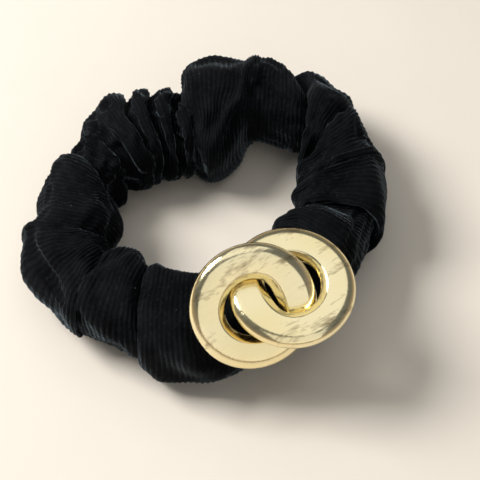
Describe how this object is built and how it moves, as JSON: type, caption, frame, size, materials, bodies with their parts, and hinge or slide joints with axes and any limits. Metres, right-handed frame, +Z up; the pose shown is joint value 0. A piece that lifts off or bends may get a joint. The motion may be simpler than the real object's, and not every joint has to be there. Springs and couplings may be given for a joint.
{
  "type": "hair scrunchie",
  "caption": "Gathered corduroy tube over an elastic band, with interlocked flat metal rings sewn to its front; it stretches to go round gathered hair.",
  "frame": {"origin": "middle of the bounding box's underside, on the surface that the scrunchie lies on", "axes": "+Z up, along the hole; +Y from the side with the metal rings to the far side; +X to the right of someone who faces the metal rings' side from -Y"},
  "size_m": [0.1073, 0.1054, 0.0421],
  "materials": {
    "corduroy": "fine-wale black corduroy with a short pile",
    "elastic": "flat knitted elastic",
    "thread": "polyester sewing thread",
    "gold": "pale gold plating, polished with fine brush marks"
  },
  "bodies": {
    "root": {"cover_front": "corduroy", "elastic_band": "elastic", "elastic_bar_tack": "thread", "closing_stitches": "thread", "long_seam_front": "thread", "thread_tack_left": "thread", "thread_tack_right": "thread"},
    "back": {"cover_back": "corduroy", "long_seam_back": "thread"},
    "ring_left": {"ring_left": "gold"},
    "ring_right": {"ring_right": "gold"}
  },
  "joints": [
    {"name": "stretch", "type": "slide", "parent": "root", "child": "back", "axis": [0, 1, 0], "range_m": [0, 0.06], "stiffness_N_per_m": 60, "deforming": ["elastic_band"]},
    {"name": "rings_rock", "type": "hinge", "parent": "root", "child": "ring_left", "pos_m": [-0.00405, -0.0341, 0.02557], "axis": [0.9866, -0.158, 0.0416], "range_deg": [-8, 8], "stiffness_Nm_per_rad": 0.08},
    {"name": "right_ring_play", "type": "hinge", "parent": "ring_left", "child": "ring_right", "pos_m": [-0.00405, -0.0341, 0.02557], "axis": [0.9866, -0.158, 0.0416], "range_deg": [-2.5, 2.5], "stiffness_Nm_per_rad": 0.08}
  ]
}
